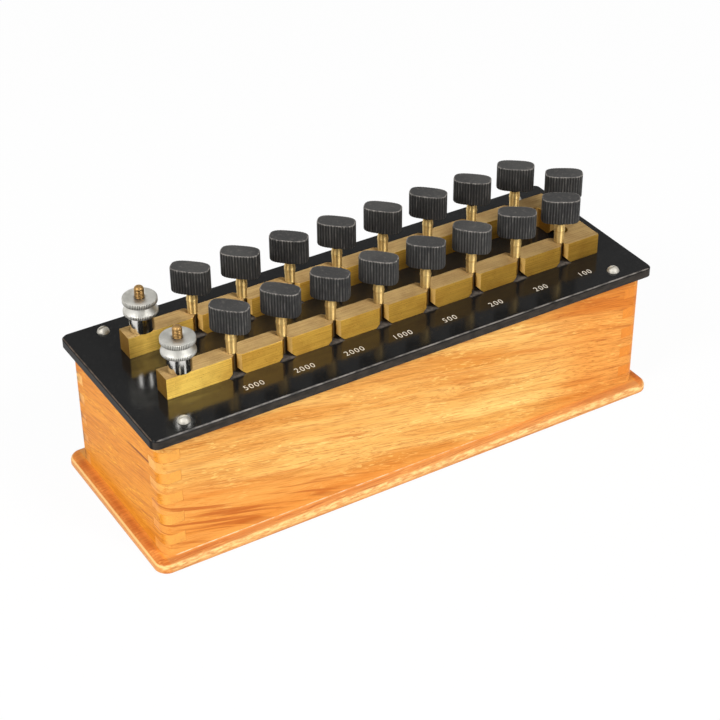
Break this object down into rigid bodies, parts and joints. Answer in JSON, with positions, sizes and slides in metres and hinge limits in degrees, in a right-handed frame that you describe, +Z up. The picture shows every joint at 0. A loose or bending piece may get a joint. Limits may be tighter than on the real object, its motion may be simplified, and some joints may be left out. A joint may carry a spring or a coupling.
{
  "type": "plug resistance box",
  "caption": "Wooden bench resistance box with brass blocks on a black panel, tapered plugs with fluted heads and two screw terminals with thumb nuts.",
  "frame": {"origin": "middle of the plinth's underside", "axes": "+X along the rows, from the terminals to the joined end; -Y is the front; +Z up"},
  "size_m": [0.2622, 0.0972, 0.1031],
  "materials": {
    "case_wood": "satin varnish over straight-grained honey wood",
    "plinth_wood": "satin varnish, redder than the case",
    "panel_ebonite": "polished",
    "block_brass": "brushed along the rows",
    "pin_brass": "turned and polished",
    "head_ebonite": "matte, worn on the edges",
    "terminal_nickel": "nickel plated",
    "terminal_brass": "screwed, dull",
    "screw_nickel": "nickel plated",
    "screw_steel": "bright",
    "inner_brass": "plain",
    "bobbin_wood": "turned",
    "winding_silk": "silk-covered wire",
    "lead_copper": "bare copper strip"
  },
  "bodies": {
    "case": {"front_wall": "case_wood", "back_wall": "case_wood", "left_wall": "case_wood", "right_wall": "case_wood", "plinth": "plinth_wood", "panel": "panel_ebonite", "front_row_blocks": "block_brass", "back_row_blocks": "block_brass", "front_terminal_block": "block_brass", "back_terminal_block": "block_brass", "front_end_block": "block_brass", "back_end_block": "block_brass", "front_terminal_stud": "terminal_brass", "back_terminal_stud": "terminal_brass", "panel_screws": "screw_nickel", "plinth_screws": "screw_steel", "block_studs": "inner_brass", "stud_nuts": "inner_brass", "coil_bobbins": "bobbin_wood", "coil_windings": "winding_silk", "coil_leads": "lead_copper"},
    "plug_front_1": {"plug_pin_front_1": "pin_brass", "plug_head_front_1": "head_ebonite"},
    "plug_front_2": {"plug_pin_front_2": "pin_brass", "plug_head_front_2": "head_ebonite"},
    "plug_front_3": {"plug_pin_front_3": "pin_brass", "plug_head_front_3": "head_ebonite"},
    "plug_front_4": {"plug_pin_front_4": "pin_brass", "plug_head_front_4": "head_ebonite"},
    "plug_front_5": {"plug_pin_front_5": "pin_brass", "plug_head_front_5": "head_ebonite"},
    "plug_front_6": {"plug_pin_front_6": "pin_brass", "plug_head_front_6": "head_ebonite"},
    "plug_front_7": {"plug_pin_front_7": "pin_brass", "plug_head_front_7": "head_ebonite"},
    "plug_front_8": {"plug_pin_front_8": "pin_brass", "plug_head_front_8": "head_ebonite"},
    "plug_back_1": {"plug_pin_back_1": "pin_brass", "plug_head_back_1": "head_ebonite"},
    "plug_back_2": {"plug_pin_back_2": "pin_brass", "plug_head_back_2": "head_ebonite"},
    "plug_back_3": {"plug_pin_back_3": "pin_brass", "plug_head_back_3": "head_ebonite"},
    "plug_back_4": {"plug_pin_back_4": "pin_brass", "plug_head_back_4": "head_ebonite"},
    "plug_back_5": {"plug_pin_back_5": "pin_brass", "plug_head_back_5": "head_ebonite"},
    "plug_back_6": {"plug_pin_back_6": "pin_brass", "plug_head_back_6": "head_ebonite"},
    "plug_back_7": {"plug_pin_back_7": "pin_brass", "plug_head_back_7": "head_ebonite"},
    "plug_back_8": {"plug_pin_back_8": "pin_brass", "plug_head_back_8": "head_ebonite"},
    "plug_infinity": {"plug_pin_infinity": "pin_brass", "plug_head_infinity": "head_ebonite"},
    "front_collar": {"front_terminal_collar": "terminal_nickel"},
    "front_thumb_nut": {"front_terminal_nut": "terminal_nickel"},
    "back_collar": {"back_terminal_collar": "terminal_nickel"},
    "back_thumb_nut": {"back_terminal_nut": "terminal_nickel"}
  },
  "joints": [
    {"name": "plug_front_1_pull", "type": "slide", "parent": "case", "child": "plug_front_1", "axis": [0, 0, 1], "range_m": [0, 0.014]},
    {"name": "plug_front_2_pull", "type": "slide", "parent": "case", "child": "plug_front_2", "axis": [0, 0, 1], "range_m": [0, 0.014]},
    {"name": "plug_front_3_pull", "type": "slide", "parent": "case", "child": "plug_front_3", "axis": [0, 0, 1], "range_m": [0, 0.014]},
    {"name": "plug_front_4_pull", "type": "slide", "parent": "case", "child": "plug_front_4", "axis": [0, 0, 1], "range_m": [0, 0.014]},
    {"name": "plug_front_5_pull", "type": "slide", "parent": "case", "child": "plug_front_5", "axis": [0, 0, 1], "range_m": [0, 0.014]},
    {"name": "plug_front_6_pull", "type": "slide", "parent": "case", "child": "plug_front_6", "axis": [0, 0, 1], "range_m": [0, 0.014]},
    {"name": "plug_front_7_pull", "type": "slide", "parent": "case", "child": "plug_front_7", "axis": [0, 0, 1], "range_m": [0, 0.014]},
    {"name": "plug_front_8_pull", "type": "slide", "parent": "case", "child": "plug_front_8", "axis": [0, 0, 1], "range_m": [0, 0.014]},
    {"name": "plug_back_1_pull", "type": "slide", "parent": "case", "child": "plug_back_1", "axis": [0, 0, 1], "range_m": [0, 0.014]},
    {"name": "plug_back_2_pull", "type": "slide", "parent": "case", "child": "plug_back_2", "axis": [0, 0, 1], "range_m": [0, 0.014]},
    {"name": "plug_back_3_pull", "type": "slide", "parent": "case", "child": "plug_back_3", "axis": [0, 0, 1], "range_m": [0, 0.014]},
    {"name": "plug_back_4_pull", "type": "slide", "parent": "case", "child": "plug_back_4", "axis": [0, 0, 1], "range_m": [0, 0.014]},
    {"name": "plug_back_5_pull", "type": "slide", "parent": "case", "child": "plug_back_5", "axis": [0, 0, 1], "range_m": [0, 0.014]},
    {"name": "plug_back_6_pull", "type": "slide", "parent": "case", "child": "plug_back_6", "axis": [0, 0, 1], "range_m": [0, 0.014]},
    {"name": "plug_back_7_pull", "type": "slide", "parent": "case", "child": "plug_back_7", "axis": [0, 0, 1], "range_m": [0, 0.014]},
    {"name": "plug_back_8_pull", "type": "slide", "parent": "case", "child": "plug_back_8", "axis": [0, 0, 1], "range_m": [0, 0.014]},
    {"name": "plug_infinity_pull", "type": "slide", "parent": "case", "child": "plug_infinity", "axis": [0, 0, 1], "range_m": [0, 0.014]},
    {"name": "front_collar_lift", "type": "slide", "parent": "case", "child": "front_collar", "axis": [0, 0, 1], "range_m": [0, 0.00281]},
    {"name": "front_thumb_nut_turn", "type": "hinge", "parent": "front_collar", "child": "front_thumb_nut", "pos_m": [-0.1014, -0.018, 0.0884], "axis": [0, 0, 1], "range_deg": [0, 1440]},
    {"name": "back_collar_lift", "type": "slide", "parent": "case", "child": "back_collar", "axis": [0, 0, 1], "range_m": [0, 0.00281]},
    {"name": "back_thumb_nut_turn", "type": "hinge", "parent": "back_collar", "child": "back_thumb_nut", "pos_m": [-0.1014, 0.018, 0.0884], "axis": [0, 0, 1], "range_deg": [0, 1440]}
  ],
  "couplings": [
    {"joint": "front_collar_lift", "follows": "front_thumb_nut_turn", "m_per_rad": 0.00011141},
    {"joint": "back_collar_lift", "follows": "back_thumb_nut_turn", "m_per_rad": 0.00011141}
  ]
}
